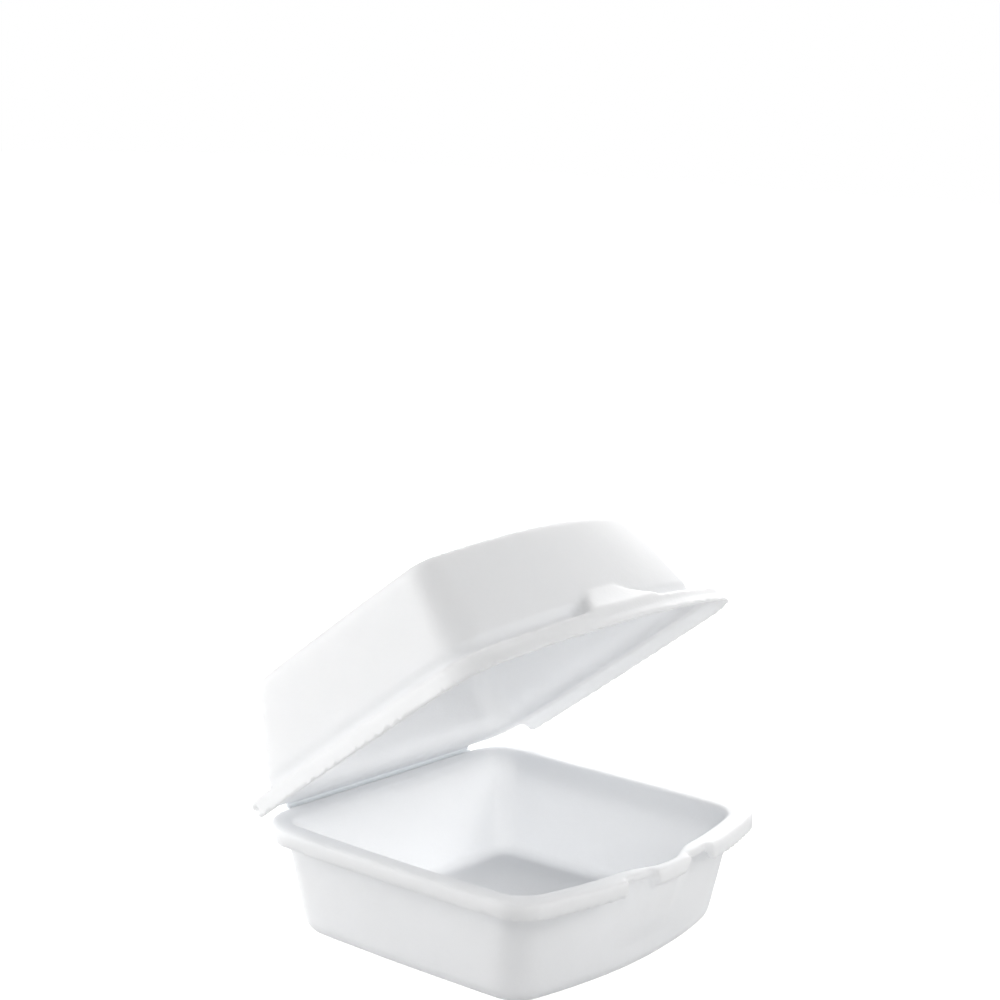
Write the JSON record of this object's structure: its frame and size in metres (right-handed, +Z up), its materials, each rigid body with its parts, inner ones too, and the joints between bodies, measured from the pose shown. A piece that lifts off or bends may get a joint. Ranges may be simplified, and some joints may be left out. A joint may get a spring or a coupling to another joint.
{
  "type": "hinged foam food container",
  "caption": "White expanded foam clamshell sandwich container: square tapered tray with a deeper domed lid on a moulded living hinge, turned-down rims and a front snap lock.",
  "frame": {"origin": "on the table, under the middle of the tray's underside", "axes": "+Z up; front lock towards -Y, hinge towards +Y; +X to the right seen from the front; symmetric about X = 0"},
  "size_m": [0.1444, 0.1324, 0.1343],
  "materials": {
    "foam": "satin"
  },
  "bodies": {
    "tray": {"base_tray": "foam", "living_hinge": "foam"},
    "lid": {"lid": "foam"}
  },
  "joints": [
    {"name": "lid_hinge", "type": "hinge", "parent": "tray", "child": "lid", "pos_m": [0, 0.0605, 0.0373], "axis": [-1, 0, 0], "range_deg": [-37.5, 139.5], "deforming": ["living_hinge"]}
  ]
}
